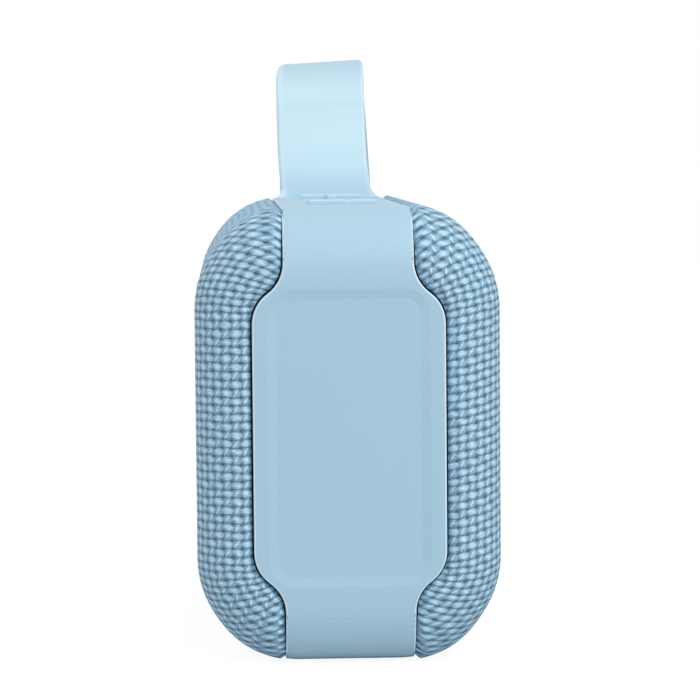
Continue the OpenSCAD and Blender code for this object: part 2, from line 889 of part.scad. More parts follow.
module battery_tray() {
  color("#2b2f33") difference() {
    intersection() {
      block(case_in + rest_gap);
      translate([0, battery_y, tray_top - big / 2])
        cube([cell_l + 8, 4 * cell_gap + 1, big], center = true);
    }
    for (side = [-1, 1]) translate([0, battery_y + side * cell_gap, cell_z]) rotate([0, 90, 0])
      cylinder(cell_l + 2, r = cell_r + rest_gap, center = true);
  }
}

module battery_strap() {
  reach = cell_r + rest_gap;
  color("#15171a") translate([0, battery_y, cell_z]) rotate([90, 0, 90])
    linear_extrude(10, center = true) intersection() {
      difference() {
        stadium(cell_gap + reach + 0.8, reach + 0.8);
        stadium(cell_gap + reach, reach);
      }
      translate([-big / 2, tray_top - cell_z + rest_gap]) square([big, big]);
    }
}

belt();
wrist_strap();
minus_key();
play_key();
plus_key();
front_cloth();
rear_cloth();
front_grille();
rear_grille();
front_case();
rear_case();
case_gasket();
case_screws();
place_driver(-1) driver_frame();  // left_frame
place_driver(-1) driver_magnet();  // left_magnet
place_driver(-1) driver_yoke();  // left_yoke
place_driver(-1) driver_cone();  // left_cone
place_driver(-1) driver_surround();  // left_surround
place_driver(-1) driver_spider();  // left_spider
place_driver(-1) driver_coil();  // left_coil
place_driver(1) driver_frame();  // right_frame
place_driver(1) driver_magnet();  // right_magnet
place_driver(1) driver_yoke();  // right_yoke
place_driver(1) driver_cone();  // right_cone
place_driver(1) driver_surround();  // right_surround
place_driver(1) driver_spider();  // right_spider
place_driver(1) driver_coil();  // right_coil
driver_screws();
radiator_frame();
radiator_surround();
radiator_plate();
key_board();
key_board_screws();
key_switches();
top_plunger(-key_pitch);  // minus_plunger
top_plunger(0);  // play_plunger
top_plunger(key_pitch);  // plus_plunger
main_board();
board_parts();
board_screws();
board_ribbon();
usb_socket();
side_switches();
side_plunger(power_x);  // power_plunger
side_plunger(pair_x);  // pair_plunger
side_key(power_x);  // power_key
side_key(pair_x);  // pair_key
port_panel();
port_flap();
status_light();
battery_cells();
battery_tray();
battery_strap();
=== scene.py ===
# %% [markdown]
# # A cloth-covered speaker with a wrist strap
# The construction is already made and packed: every rigid piece is at its real size and place.
# Here the pieces get their finish. The two woven covers are modelled again as cloth, and the
# moulded rubber parts get the small rounded edges that a mould leaves, because those edges are
# what catches the light.

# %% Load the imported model
import json
import math
import bmesh
import bpy
from mathutils import Matrix, Vector
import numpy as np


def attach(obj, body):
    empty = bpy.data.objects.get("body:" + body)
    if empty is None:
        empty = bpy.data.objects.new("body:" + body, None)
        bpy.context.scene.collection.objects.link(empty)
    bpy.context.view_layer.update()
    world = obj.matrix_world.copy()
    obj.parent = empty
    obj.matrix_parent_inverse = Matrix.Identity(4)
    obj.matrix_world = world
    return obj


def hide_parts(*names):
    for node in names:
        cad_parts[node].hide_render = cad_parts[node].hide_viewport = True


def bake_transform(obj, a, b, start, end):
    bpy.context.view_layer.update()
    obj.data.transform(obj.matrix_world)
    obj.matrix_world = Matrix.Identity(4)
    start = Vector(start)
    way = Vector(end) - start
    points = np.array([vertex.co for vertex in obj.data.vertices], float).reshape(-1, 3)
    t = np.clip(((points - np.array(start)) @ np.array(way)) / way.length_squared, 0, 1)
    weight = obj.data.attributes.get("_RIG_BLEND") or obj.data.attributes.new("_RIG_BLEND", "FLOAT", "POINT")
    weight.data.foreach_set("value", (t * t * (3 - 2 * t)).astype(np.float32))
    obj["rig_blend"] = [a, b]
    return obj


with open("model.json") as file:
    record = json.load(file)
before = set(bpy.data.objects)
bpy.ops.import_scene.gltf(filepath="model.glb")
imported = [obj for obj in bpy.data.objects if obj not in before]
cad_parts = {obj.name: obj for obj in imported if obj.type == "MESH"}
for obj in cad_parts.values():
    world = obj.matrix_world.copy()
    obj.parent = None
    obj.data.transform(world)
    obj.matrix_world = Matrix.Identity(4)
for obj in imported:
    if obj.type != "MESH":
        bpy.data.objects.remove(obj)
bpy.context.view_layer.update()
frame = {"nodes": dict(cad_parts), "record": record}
nodes = frame["nodes"]
scene = bpy.context.scene
MM = 0.001

# %% [markdown]
# ## Putting things into the scene
# Blender keeps a shape (a mesh, a lens or a lamp) apart from the object that shows it, and an object
# is only seen once it is linked to a collection. A bmesh is a mesh that is still being worked on: it
# is written into a real mesh and then freed. These two steps come back for every piece.

# %% Two helpers for objects and meshes
def placed(name, data):
    """Shows a shape in the scene, unturned and at the origin."""
    made = bpy.data.objects.new(name, data)
    scene.collection.objects.link(made)
    return made


def written(bm, name):
    """Turns a finished bmesh into a mesh."""
    mesh = bpy.data.meshes.new(name)
    bm.to_mesh(mesh)
    bm.free()
    return mesh


# %% [markdown]
# ## The camera
# The speaker is seen from one end, a little from above. A long lens from about half a metre keeps
# the far end nearly as large as the near one, so the strap at the far end stands clear above the belt.
# A camera could be aimed by a constraint, but three turns say it more plainly: to the side, down,
# and a slight roll. They give the camera's own three axes, and those are the columns of its matrix.

# %% Make the camera
CAMERA_AT = Vector((-614, 22.56, 101.14)) * MM
TURN, TILT, ROLL = -0.0414, -0.0707, -0.0084
FOCAL_LENGTH, SENSOR_WIDTH = 145.6, 36

forward = Vector((math.cos(TILT) * math.cos(TURN), math.cos(TILT) * math.sin(TURN), math.sin(TILT)))
level_right = forward.cross(Vector((0, 0, 1))).normalized()
level_up = level_right.cross(forward)
right = math.cos(ROLL) * level_right + math.sin(ROLL) * level_up
up = -math.sin(ROLL) * level_right + math.cos(ROLL) * level_up

lens = bpy.data.cameras.new("end_view")
lens.lens, lens.sensor_width = FOCAL_LENGTH, SENSOR_WIDTH
lens.clip_start, lens.clip_end = 0.01, 20
camera = placed("end_view", lens)
turned = Matrix((right, up, -forward)).transposed().to_4x4()
camera.matrix_world = Matrix.Translation(CAMERA_AT) @ turned
scene.camera = camera
print("camera at", tuple(round(v / MM) for v in CAMERA_AT), "lens", lens.lens)

# %% [markdown]
# ## Colours and shader nodes
# A colour is written as it looks on a screen, in hex, and one function turns it into the linear
# light that a shader works in. One more function adds a shader node with its settings and links, so
# that a material reads as a list of its steps.

# %% Three helpers for materials
def linear(code):
    """A hex colour as linear light, fully opaque."""
    parts = [int(code[i:i + 2], 16) / 255 for i in (1, 3, 5)]
    return tuple(p / 12.92 if p <= 0.04045 else ((p + 0.055) / 1.055) ** 2.4 for p in parts) + (1,)


def add(tree, kind, inputs=None, **settings):
    """Adds a shader node. An input is a value, a socket, or a node that gives its first output."""
    made = tree.nodes.new("ShaderNode" + kind)
    for name, value in settings.items():
        setattr(made, name, value)
    for socket, value in (inputs or {}).items():
        if isinstance(value, bpy.types.Node):
            value = value.outputs[0]
        if isinstance(value, bpy.types.NodeSocket):
            tree.links.new(value, made.inputs[socket])
        else:
            made.inputs[socket].default_value = value
    return made


def empty_material(name):
    """A material with no nodes yet, and its node tree."""
    made = bpy.data.materials.new(name)
    made.use_nodes = True
    made.node_tree.nodes.clear()
    return made, made.node_tree


print("a mid silicone blue in linear light:", [round(v, 3) for v in linear("#A9CBDC")[:3]])

# %% [markdown]
# ## The floor
# The speaker stands on a pale paper sweep. A sheet of paper that is lit well enough to look white
# would throw too much light up at the speaker, so the floor is white to the camera only, by a little
# glow of its own, and a soft grey to everything else. It still shows the speaker's shadow.

# %% The floor
FLOOR_HALF_WIDTH = 4
FLOOR_DROP = 0.3
FLOOR_GREY, FLOOR_WHITE = (0.74, 0.74, 0.74, 1), (0.95, 0.95, 0.95, 1)
GLOW, GLOW_SHARE = 1.14, 0.8

scene.view_settings.view_transform = "Standard"
bm = bmesh.new()
bmesh.ops.create_grid(bm, x_segments=1, y_segments=1, size=FLOOR_HALF_WIDTH)
bmesh.ops.translate(bm, verts=bm.verts, vec=(0, 0, -FLOOR_DROP * MM))
floor = placed("studio_floor", written(bm, "studio_floor"))

paper, tree = empty_material("white_paper_sweep")
seen = add(tree, "LightPath").outputs["Is Camera Ray"]
shade = add(tree, "MixRGB", {"Fac": seen, "Color1": FLOOR_GREY, "Color2": FLOOR_WHITE})
lit = add(tree, "BsdfDiffuse", {"Color": shade})
bright = add(tree, "Emission", {"Color": (1, 1, 1, 1), "Strength": GLOW})
share = add(tree, "Math", {0: seen, 1: GLOW_SHARE}, operation="MULTIPLY")
mixed = add(tree, "MixShader", {0: share, 1: lit, 2: bright})
add(tree, "OutputMaterial", {"Surface": mixed})
floor.data.materials.append(paper)
print("floor", floor.name, "lies", FLOOR_DROP, "mm below the speaker")

# %% [markdown]
# ## The room and the lamps
# A small studio has one large soft light in front and half way up, a weaker one behind and one to
# the side, and pale walls that fill the shadows. Rubber that turns up towards the key light is then
# the brightest, and what faces the floor is the darkest. The walls are the world's own even light,
# and they are white where the camera or a reflection looks straight at them.

# %% The room's even light
ROOM_COLOUR, ROOM_LIGHT = (0.95, 0.975, 1, 1), 0.47

room = bpy.data.worlds.new("even_room")
scene.world = room
room.use_nodes = True
tree = room.node_tree
tree.nodes.clear()
path = add(tree, "LightPath").outputs
straight = add(tree, "Math", {0: path["Is Camera Ray"], 1: path["Is Glossy Ray"]}, operation="MAXIMUM")
soft = add(tree, "Background", {"Color": ROOM_COLOUR, "Strength": ROOM_LIGHT})
white = add(tree, "Background", {"Color": (1, 1, 1, 1), "Strength": 1.0})
both = add(tree, "MixShader", {0: straight, 1: soft, 2: white})
add(tree, "OutputWorld", {"Surface": both})
print("room light", ROOM_LIGHT)

# %% The three lamps
MIDDLE = (0, 0, 0.05)
LAMP_SIZE = 0.8


def lamp(name, place, power):
    data = bpy.data.lights.new(name, "AREA")
    data.shape, data.size, data.energy = "SQUARE", LAMP_SIZE, power
    made = placed(name, data)
    made.location = place
    made.rotation_euler = (Vector(MIDDLE) - Vector(place)).to_track_quat("-Z", "Y").to_euler()


lamp("key_softbox", (-0.85, -0.5, 0.9), 9.7)
lamp("back_softbox", (0.9, 0.7, 0.8), 1.2)
lamp("side_softbox", (0.1, 1.1, 0.5), 2.2)

# %% [markdown]
# ## Moulded silicone
# The belt, the strap and the keys are silicone rubber pressed in a spark-eroded mould. The mould
# leaves a fine, even grain, so the rubber looks matte, with a soft glow where it turns away. The
# grain is about a tenth of a millimetre, drawn at a quarter so that it can be seen at all. Modelled
# grain would need millions of faces, so it is a bump. Broad, faint clouds keep the colour alive.

# %% A silicone finish
GRAIN, GRAIN_DEPTH = 0.25, 0.012
CLOUDS, CLOUD_SHADE = 26.0, 0.955


def silicone(name, colour, roughness, *tints):
    """Matte rubber. Each of tints is a function that changes its colour from place to place."""
    made, tree = empty_material(name)
    where = add(tree, "TexCoord").outputs["Object"]
    grain = add(tree, "TexNoise", {"Vector": where, "Scale": 1 / (GRAIN * MM), "Detail": 2.0,
                                   "Roughness": 0.5})
    clouds = add(tree, "TexNoise", {"Vector": where, "Scale": 1 / (CLOUDS * MM), "Detail": 1.0})
    full = linear(colour)
    dark = tuple(c * CLOUD_SHADE for c in full[:3]) + (1,)
    tint = add(tree, "MixRGB", {"Fac": clouds, "Color1": dark, "Color2": full})
    spot = add(tree, "SeparateXYZ", {0: where})
    for change in tints:
        tint = change(tree, spot, tint)
    bumps = add(tree, "Bump", {"Height": grain, "Strength": 0.25, "Distance": GRAIN_DEPTH * MM})
    rub = add(tree, "MapRange", {"Value": clouds, "To Min": roughness - 0.03,
                                 "To Max": roughness + 0.03})
    skin = add(tree, "BsdfPrincipled", {"Base Color": tint, "IOR": 1.41, "Roughness": rub,
                                        "Normal": bumps, "Sheen Weight": 0.12,
                                        "Sheen Roughness": 0.5})
    add(tree, "OutputMaterial", {"Surface": skin})
    return made


print("silicone grain", GRAIN, "mm, clouds", CLOUDS, "mm")

# %% [markdown]
# ## Painted light and shade on the strap
# The free loop is painted pale, a painted glow for the light that comes through the thin rubber,
# while its root and its bend are painted duller, a painted shade. Its two long edges are painted
# paler still, a painted highlight. The glow and the shade are told by height. The edges are told by
# the strap's own measure across, because the loop twists and a place in the room would run off its
# edges.

# %% Painted glow, painted shade and painted edge highlights for the strap
# Heights in mm, and how much of the painted glow shows there; where none shows, the painted shade does.
GLOW_SHARES_BY_HEIGHT = ((91.5, 0.0), (93.0, 0.15), (97.0, 0.69), (103.0, 1.0), (110.0, 1.0), (114.0, 0.75),
               (118.0, 0.35), (122.0, 0.0))
# For each long edge's painted highlight: where it starts, where it ends, in mm across, and how strong it is.
EDGE_HIGHLIGHTS = ((8.6, 10.2, 0.7), (-9.4, -10.4, 0.45))


def painted_glow_and_shade_by_height(tree, spot, tint):
    low, high = GLOW_SHARES_BY_HEIGHT[0][0], GLOW_SHARES_BY_HEIGHT[-1][0]
    rise = add(tree, "MapRange", {"Value": spot.outputs["Z"], "From Min": low * MM,
                                  "From Max": high * MM})
    ramp = add(tree, "ValToRGB", {"Fac": rise})
    stops = ramp.color_ramp.elements
    for height, _ in GLOW_SHARES_BY_HEIGHT[1:-1]:
        stops.new((height - low) / (high - low))
    for stop, (_, pale) in zip(stops, GLOW_SHARES_BY_HEIGHT):
        stop.color = (pale, pale, pale, 1)
    # Colour #B9D8E8 is the painted shade of the root and the bend; the strap's own pale colour is the
    # painted glow.
    return add(tree, "MixRGB", {"Fac": ramp, "Color1": linear("#B9D8E8"), "Color2": tint})


def painted_edge_highlights(tree, spot, tint):
    side = add(tree, "Attribute", attribute_name="across_mm").outputs["Fac"]
    for start, end, most in EDGE_HIGHLIGHTS:
        thin_yarn_or_edge_highlight = add(tree, "MapRange", {"Value": side, "From Min": start, "From Max": end,
                                      "To Max": most}, interpolation_type="SMOOTHSTEP")
        # Each long edge is painted towards #DDF5FF, a painted highlight.
        tint = add(tree, "MixRGB", {"Fac": thin_yarn_or_edge_highlight, "Color1": tint, "Color2": linear("#DDF5FF")})
    return tint


# The strap's base colour #DAF5FF, paler than the belt's, is itself the painted glow of light through the
# loop.
strap_silicone = silicone("silicone_strap_painted_light_and_shade", "#DAF5FF", 0.55, painted_glow_and_shade_by_height,
                          painted_edge_highlights)
print(strap_silicone.name, "changes over", len(GLOW_SHARES_BY_HEIGHT), "heights")

# %% [markdown]
# ## Painted light on the belt
# The belt runs over the top of the body, and its shoulders there are painted a touch paler, a painted
# highlight where they turn up towards the key light. Round the two ends the belt's rounded rim gets a
# glossier finish and is painted pale, a painted highlight, while along the top and the underside, where
# the edge is hidden in the cloth, it has the belt's own colour.

# %% Painted highlights for the belt, and the key finishes
# In mm, the height where the painted highlight on the shoulders starts and where it is full, and its share.
CROWN_FROM, CROWN_TO, CROWN_LIGHT_SHARE = 74, 81, 0.22
RUN_END, PLATE_START = 54, 59


# Paints a highlight, in colour #C9E8F6, on the shoulders of the belt.
def painted_light_on_crown(tree, spot, tint):
    rise = add(tree, "MapRange", {"Value": spot.outputs["Z"], "From Min": CROWN_FROM * MM,
                                  "From Max": CROWN_TO * MM, "To Max": CROWN_LIGHT_SHARE},
               interpolation_type="SMOOTHSTEP")
    return add(tree, "MixRGB", {"Fac": rise, "Color1": tint, "Color2": linear("#C9E8F6")})


# Keeps the painted rim highlight off the long runs, where the edge has the belt's own colour #AFD3E6.
def rim_highlight_only_at_ends(tree, spot, tint):
    away = add(tree, "Math", {0: spot.outputs["X"]}, operation="ABSOLUTE")
    share = add(tree, "MapRange", {"Value": away, "From Min": RUN_END * MM,
                                   "From Max": PLATE_START * MM})
    return add(tree, "MixRGB", {"Fac": share, "Color1": linear("#AFD3E6"), "Color2": tint})


belt_silicone = silicone("silicone_belt_moulded_matte", "#ACCFE2", 0.62, painted_light_on_crown)
# The rim's colour #DDF4FF is a painted highlight along the belt's rounded edge.
rim_highlight_silicone = silicone("silicone_rim_painted_highlight", "#DDF4FF", 0.35, rim_highlight_only_at_ends)
key_silicone = silicone("silicone_keys_moulded_matte", "#BFE1F0", 0.6)
# The keys' rounded edges are painted paler than the keys, a painted highlight.
key_edge_highlight_silicone = silicone("silicone_key_edge_painted_highlight", "#CBE8F5", 0.5)
print("silicone finishes", belt_silicone.name, rim_highlight_silicone.name, key_silicone.name)

# %% [markdown]
# ## The woven cover
# The cover is a plain weave of thick polyester yarns. Each yarn rises over one crossing yarn and
# dives under the next, and the next row does the opposite. Real yarns could be modelled one by one,
# but there are thousands, so the material draws them: a yarn's height is a wave along it and a
# half-round across it, and what is seen is the higher of the two yarns at each crossing. The pattern
# follows the cloth, not space: the map `threads_mm` carries each point's place on the yarns.

# %% Where a point is on the yarns
# From one yarn to the next in mm, across the columns and along the rows.
COLUMN, ROW = 2.0, 1.65


def yarn_places(tree, flat):
    """The place across a column and a row, each from -0.5 to 0.5, and which of the yarns is on top."""
    # No yarn is straight or even, so each wanders a little to the side.
    wander = add(tree, "TexNoise", {"Vector": flat, "Scale": 0.3, "Detail": 2.0}).outputs["Color"]
    shift = add(tree, "VectorMath", {0: wander, 1: (0.5, 0.5, 0.5)}, operation="SUBTRACT")
    shift = add(tree, "VectorMath", {0: shift, "Scale": 0.8}, operation="SCALE")
    moved = add(tree, "VectorMath", {0: flat, 1: shift}, operation="ADD")
    counted = add(tree, "VectorMath", {0: moved, 1: (COLUMN, ROW, 1)}, operation="DIVIDE")
    number = add(tree, "VectorMath", {0: counted}, operation="FLOOR")
    number = add(tree, "SeparateXYZ", {0: number}).outputs
    rest = add(tree, "VectorMath", {0: counted}, operation="FRACTION")
    rest = add(tree, "VectorMath", {0: rest, 1: (0.5, 0.5, 0)}, operation="SUBTRACT")
    rest = add(tree, "SeparateXYZ", {0: rest}).outputs
    # Which yarn is on top turns over with each column and each row: 1, then -1.
    both = add(tree, "Math", {0: number["X"], 1: number["Y"]}, operation="ADD")
    odd = add(tree, "Math", {0: both, 1: 1.0}, operation="PINGPONG")
    turn = add(tree, "Math", {0: odd, 1: -2.0, 2: 1.0}, operation="MULTIPLY_ADD")
    return rest["X"], rest["Y"], turn


print("weave", COLUMN, "by", ROW, "mm")

# %% [markdown]
# ## The form of one yarn
# A yarn under tension is round where it lies free. It swells where it lies on top and is pinched
# where it dives, and its filaments are twisted, so they run across it at a slant.

# %% Four parts of a yarn's form
def half_round(tree, value, width):
    scaled = add(tree, "Math", {0: value, 1: width}, operation="DIVIDE")
    squared = add(tree, "Math", {0: scaled, 1: scaled}, operation="MULTIPLY")
    left = add(tree, "Math", {0: 1.0, 1: squared}, operation="SUBTRACT", use_clamp=True)
    return add(tree, "Math", {0: left}, operation="SQRT")


def wave(tree, value, turn, rise):
    angle = add(tree, "Math", {0: value, 1: math.pi}, operation="MULTIPLY")
    swing = add(tree, "Math", {0: angle}, operation="COSINE")
    swing = add(tree, "Math", {0: swing, 1: turn}, operation="MULTIPLY")
    return add(tree, "Math", {0: swing, 1: rise}, operation="MULTIPLY")


def swelling(tree, value, turn, over):
    """How much a yarn is pinched, from 1 in the middle of its swelling; over says which yarn it is."""
    edge = add(tree, "Math", {0: value}, operation="ABSOLUTE")
    inward = add(tree, "Math", {0: 0.5, 1: edge}, operation="SUBTRACT")
    inward = add(tree, "Math", {0: inward, 1: turn}, operation="MULTIPLY")
    off = add(tree, "Math", {0: 0.5, 1: inward}, operation="SUBTRACT" if over else "ADD")
    squared = add(tree, "Math", {0: off, 1: off}, operation="MULTIPLY")
    return add(tree, "Math", {0: squared, 1: 1.6, 2: 1.0}, operation="MULTIPLY_ADD")


def filaments(tree, flat, lean):
    pulled = add(tree, "Mapping", {"Vector": flat, "Rotation": (0, 0, lean), "Scale": (1.0, 4.2, 1.0)})
    return add(tree, "TexNoise", {"Vector": pulled, "Scale": 1.0, "Detail": 2.5, "Roughness": 0.6})


print("a yarn is made of a half-round, a wave, a swelling and its filaments")

# %% [markdown]
# ## The relief of the weave
# The yarn along the body is fat and leans with its twist. The crossing one is thinner and lower, and
# one strand stands out on each of its pieces: raised in the bump, and lit by a painted highlight in
# the colour. Where the two are at the same height, the one that is higher hides the other, which is
# what a maximum does.

# %% The relief of the weave
def weave_relief(tree, flat):
    """Adds the two crossing yarns, and gives what the colour and the bump need of them."""
    fu, fv, turn = yarn_places(tree, flat)
    pinched = add(tree, "Math", {0: fv, 1: swelling(tree, fu, turn, True)}, operation="MULTIPLY")
    fat = half_round(tree, pinched, 0.5)
    leaning = add(tree, "Math", {0: fv, 1: 0.3, 2: fu}, operation="MULTIPLY_ADD")
    along = add(tree, "Math", {0: wave(tree, leaning, turn, 0.5), 1: fat}, operation="ADD")
    pinched = add(tree, "Math", {0: fu, 1: swelling(tree, fv, turn, False)}, operation="MULTIPLY")
    thin_yarn_or_edge_highlight = half_round(tree, pinched, 0.46)
    thin_yarn_or_edge_highlight = add(tree, "Math", {0: thin_yarn_or_edge_highlight, 1: 0.7, 2: 0.1}, operation="MULTIPLY_ADD")
    across = add(tree, "Math", {0: thin_yarn_or_edge_highlight, 1: wave(tree, fv, turn, 0.55)}, operation="SUBTRACT")
    top = add(tree, "Math", {0: along, 1: across}, operation="MAXIMUM")
    crossing = add(tree, "Math", {0: across, 1: along}, operation="GREATER_THAN")
    # Fine filaments run round each yarn with its twist, one way on each of the two.
    twisted = add(tree, "MixRGB", {"Fac": crossing, "Color1": filaments(tree, flat, 0.6),
                                   "Color2": filaments(tree, flat, -0.9)})
    line = add(tree, "Math", {0: fv, 1: -0.5, 2: fu}, operation="MULTIPLY_ADD")
    line = add(tree, "Math", {0: line, 1: 0.08}, operation="ADD")
    line = add(tree, "Math", {0: line}, operation="ABSOLUTE")
    line = add(tree, "Math", {0: line, 1: -1 / 0.13, 2: 1.0}, operation="MULTIPLY_ADD", use_clamp=True)
    strand = add(tree, "Math", {0: crossing, 1: line}, operation="MULTIPLY")
    return {"top": top, "crossing": crossing, "twisted": twisted, "strand": strand, "fv": fv}


print("the two yarns cross every", COLUMN, "by", ROW, "mm")

# %% [markdown]
# ## The colour of the weave
# The yarn is painted darkest deep down, a painted shade where little light gets in, and palest on its
# crests. The filaments make it uneven, partly a tone of its own and partly painted glints. The crossing
# yarn, which lies lower, is painted a little darker, a painted shade, and so are the grooves between
# the rows. The strand on it is a painted highlight, the brightest thing.

# %% The colour of the weave
# The colour at each share of the way up from the groove to the crest, darkest low down as a painted shade.
DEEP_TO_CREST = ((0.0, "#4C7993"), (0.35, "#7CA3BA"), (0.75, "#9BC2DA"), (1.0, "#BFE2F6"))


def weave_colour(tree, yarns):
    # The ramp by height paints the shade deep in the weave.
    depth = add(tree, "MapRange", {"Value": yarns["top"], "From Min": 0.1, "From Max": 1.5})
    ramp = add(tree, "ValToRGB", {"Fac": depth})
    stops = ramp.color_ramp.elements
    for position, _ in DEEP_TO_CREST[1:-1]:
        stops.new(position)
    for stop, (_, colour) in zip(stops, DEEP_TO_CREST):
        stop.color = linear(colour)
    # The filaments vary the colour, partly as the yarn's own tone and partly as painted glints.
    lighter = add(tree, "MapRange", {"Value": yarns["twisted"], "From Min": 0.3, "From Max": 0.7,
                                     "To Min": 0.7, "To Max": 1.44})
    middle = add(tree, "Math", {0: yarns["fv"]}, operation="ABSOLUTE")
    # Painted shade in the groove between two rows.
    groove = add(tree, "MapRange", {"Value": middle, "From Min": 0.36, "From Max": 0.5,
                                    "To Min": 1.0, "To Max": 0.84}, interpolation_type="SMOOTHSTEP")
    # Painted shade on the lower crossing yarn.
    darker = add(tree, "Math", {0: yarns["crossing"], 1: -0.2, 2: 1.0}, operation="MULTIPLY_ADD")
    shaded = add(tree, "Math", {0: lighter, 1: darker}, operation="MULTIPLY")
    shaded = add(tree, "Math", {0: shaded, 1: groove}, operation="MULTIPLY")
    # Painted highlight on the strand.
    shaded = add(tree, "Math", {0: yarns["strand"], 1: 0.8, 2: shaded}, operation="MULTIPLY_ADD")
    return add(tree, "MixRGB", {"Fac": 1.0, "Color1": ramp, "Color2": shaded}, blend_type="MULTIPLY")


print("colours from groove to crest", [colour for _, colour in DEEP_TO_CREST])

# %% [markdown]
# ## The cloth's material
# Over the long top and bottom edges the cloth is pulled tight, and its yarns lie flatter and look
# more even. Polyester has a soft sheen of its own colour where it turns away. The bump is as deep as
# a yarn stands proud, and it fades where the cloth is tight.

# %% The cloth's material
# In mm on the flat cloth: where the tight band starts and is full, and where it ends along the body.
TIGHT_FROM, TIGHT_TO, TIGHT_SHARE = 29.0, 40.0, 0.5
TIGHT_ENDS, TIGHT_WITHIN = 56.0, 46.0
YARN_RELIEF = 0.36


def weave_cloth():
    made, tree = empty_material("polyester_cover_plain_weave")
    yarns = weave_relief(tree, add(tree, "UVMap", uv_map="threads_mm").outputs[0])
    # The yarn's colour carries the painted shade and painted highlights of the weave.
    shaded_yarn_colour = weave_colour(tree, yarns)
    cut = add(tree, "SeparateXYZ", {0: add(tree, "UVMap", uv_map="flat_mm")}).outputs
    around = add(tree, "Math", {0: cut["Y"]}, operation="ABSOLUTE")
    over = add(tree, "MapRange", {"Value": around, "From Min": TIGHT_FROM, "From Max": TIGHT_TO,
                                  "To Max": TIGHT_SHARE}, interpolation_type="SMOOTHSTEP")
    along = add(tree, "Math", {0: cut["X"]}, operation="ABSOLUTE")
    within = add(tree, "MapRange", {"Value": along, "From Min": TIGHT_ENDS, "From Max": TIGHT_WITHIN},
                 interpolation_type="SMOOTHSTEP")
    tight = add(tree, "Math", {0: over, 1: within}, operation="MULTIPLY")
    shaded_yarn_colour = add(tree, "MixRGB", {"Fac": tight, "Color1": shaded_yarn_colour, "Color2": linear("#76A5C0")})
    height = add(tree, "Math", {0: yarns["strand"], 1: 0.22}, operation="MULTIPLY")
    height = add(tree, "Math", {0: yarns["twisted"], 1: 0.5, 2: height}, operation="MULTIPLY_ADD")
    height = add(tree, "Math", {0: yarns["top"], 1: height}, operation="ADD")
    loose = add(tree, "Math", {0: 1.0, 1: tight}, operation="SUBTRACT")
    bumps = add(tree, "Bump", {"Height": height, "Strength": loose, "Distance": YARN_RELIEF * MM})
    yarn = add(tree, "BsdfPrincipled", {"Base Color": shaded_yarn_colour, "Roughness": 0.55, "IOR": 1.5,
                                        "Normal": bumps, "Sheen Weight": 0.2,
                                        "Sheen Roughness": 0.45, "Sheen Tint": linear("#8CC0E0")})
    add(tree, "OutputMaterial", {"Surface": yarn})
    return made


cover_weave = weave_cloth()
print("weave of", len(cover_weave.node_tree.nodes), "nodes")

# %% [markdown]
# ## Where the cloth lies
# The body is a block with rounded corners, and its two ends are rounded over. A point of the cloth
# is found from its flat measure: `along` runs the length and over the end, `around` runs from the
# middle of the long face up to the belt. Wrapping a grid with a modifier would stretch it at the
# corners, and this way every point keeps its own place on the cut cloth.

# %% From the flat cloth to the body
# The body's block in mm, the radius of its long corners and of its ends, and how far inside that
# block the cloth lies.
LENGTH, DEPTH, HEIGHT = 132.0, 60.6, 90.0
CORNER, END = 20.5, 11.0
DROP = 0.3

corner_r, end_r = CORNER - DROP, END - DROP
flat_z, flat_y = HEIGHT / 2 - CORNER, DEPTH / 2 - CORNER
end_start, end_turn = LENGTH / 2 - END, end_r * math.pi / 2


def eased(share):
    """Rises smoothly from 0 to 1 as share does."""
    share = min(1.0, max(0.0, share))
    return share * share * (3 - 2 * share)


def section(around, inset):
    """A point of the rounded section (y outwards, z from the middle), moved in by inset."""
    side = math.copysign(1, around)
    past = abs(around) - flat_z
    reach = corner_r - inset
    if past <= 0:
        return flat_y + reach, around
    angle = past / corner_r
    return flat_y + reach * math.cos(angle), side * (flat_z + reach * math.sin(angle))


def lay(along, around):
    """Where a point of the flat cloth comes to lie, in mm from the middle of the body."""
    side = math.copysign(1, along)
    past = abs(along) - end_start
    if past <= 0:
        x, inset = abs(along), 0.0
    elif past < end_turn:
        x = end_start + end_r * math.sin(past / end_r)
        inset = end_r * (1 - math.cos(past / end_r))
    else:
        x = LENGTH / 2 - DROP
        inset = end_r + past - end_turn
    y, z = section(around, min(inset, corner_r - 0.4))
    return Vector((side * x, y, z))


print("the middle of the cloth lies at", tuple(round(v, 1) for v in lay(0, 0)))

# %% [markdown]
# ## How the yarns run
# Cloth pulled over a double corner cannot stay square: its yarns shear and gather. So a point has
# its place on the yarns as well as on the cut, and only the yarns' map is pulled.

# %% How the yarns run
# The share of the pull that the yarns follow, how far in from the end it dies out in mm, and how far
# the front cover has slipped at the end, per mm.
PULLED, PULL_REACH, SLIP = 0.7, 35.0, 0.16


def threads(along, around, side):
    """A point's place on the yarns, once the cloth is pulled round the corners and has sheared."""
    past = abs(along) - end_start
    rise = abs(around) - flat_z
    level = abs(around)
    outward = end_turn - max(past, 0.0)
    if rise > 0:
        angle = rise / corner_r
        level = flat_z + PULLED * (corner_r - end_r + outward) * math.sin(angle) + (1 - PULLED) * rise
    settled = eased(-past / PULL_REACH)
    level = level + (abs(around) - level) * settled
    slip = SLIP * outward * (1 - settled) if side < 0 else 0.0
    return -side * along, math.copysign(level, around) - slip


print("a yarn at the corner runs", round(threads(end_start, 40, 1)[1], 1), "mm up, of 40 on the cut")

# %% [markdown]
# ## The belt's outline
# The cloth stops at the belt, whose outline widens from the band on top to the end plate through two
# equal arcs that meet on a slant. Measuring how far a point is outside that outline gives the cut.

# %% How far a point is from the belt
# Half widths of the band and of the end plate, half the plate's straight side, and the height that
# the two arcs take.
BAND, PLATE, STRAIGHT, SHOULDER = 25.5 / 2, 37.7 / 2, 44.6 / 2, 12.0

